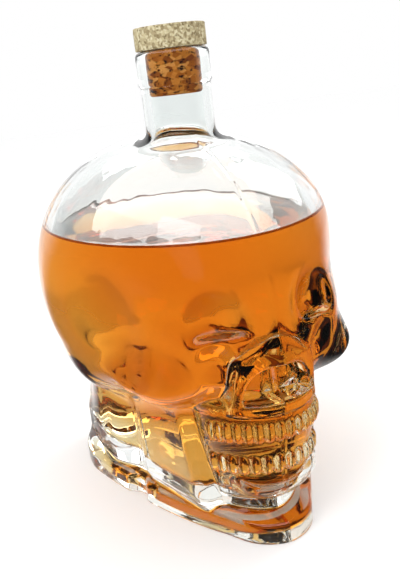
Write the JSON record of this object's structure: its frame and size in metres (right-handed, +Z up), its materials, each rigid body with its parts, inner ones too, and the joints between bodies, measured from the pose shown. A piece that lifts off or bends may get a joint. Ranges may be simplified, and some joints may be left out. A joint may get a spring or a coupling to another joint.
{
  "type": "decanter",
  "caption": "Clear glass decanter shaped as a human skull with a flat foot, a round neck on the crown, amber spirit inside and a cork stopper with a pressed cork cap.",
  "frame": {"origin": "on the underside of the foot, under the middle of the overall length and width", "axes": "+Z up along the neck, the face looks along -Y, +X is the skull's left side"},
  "size_m": [0.1276, 0.1758, 0.1961],
  "materials": {
    "glass_skull": "fire-polished clear flint glass",
    "amber_fill": "clear amber liquid",
    "cork_plug": "natural cork with dark pores",
    "cork_cap": "pressed granulated cork, cut and unsealed"
  },
  "bodies": {
    "vessel": {"glass_skull": "glass_skull", "amber_fill": "amber_fill"},
    "stopper": {"cork_plug": "cork_plug", "cork_cap": "cork_cap"}
  },
  "joints": [
    {"name": "stopper_lift", "type": "slide", "parent": "vessel", "child": "stopper", "axis": [0, 0, 1], "range_m": [0, 0.045]}
  ]
}
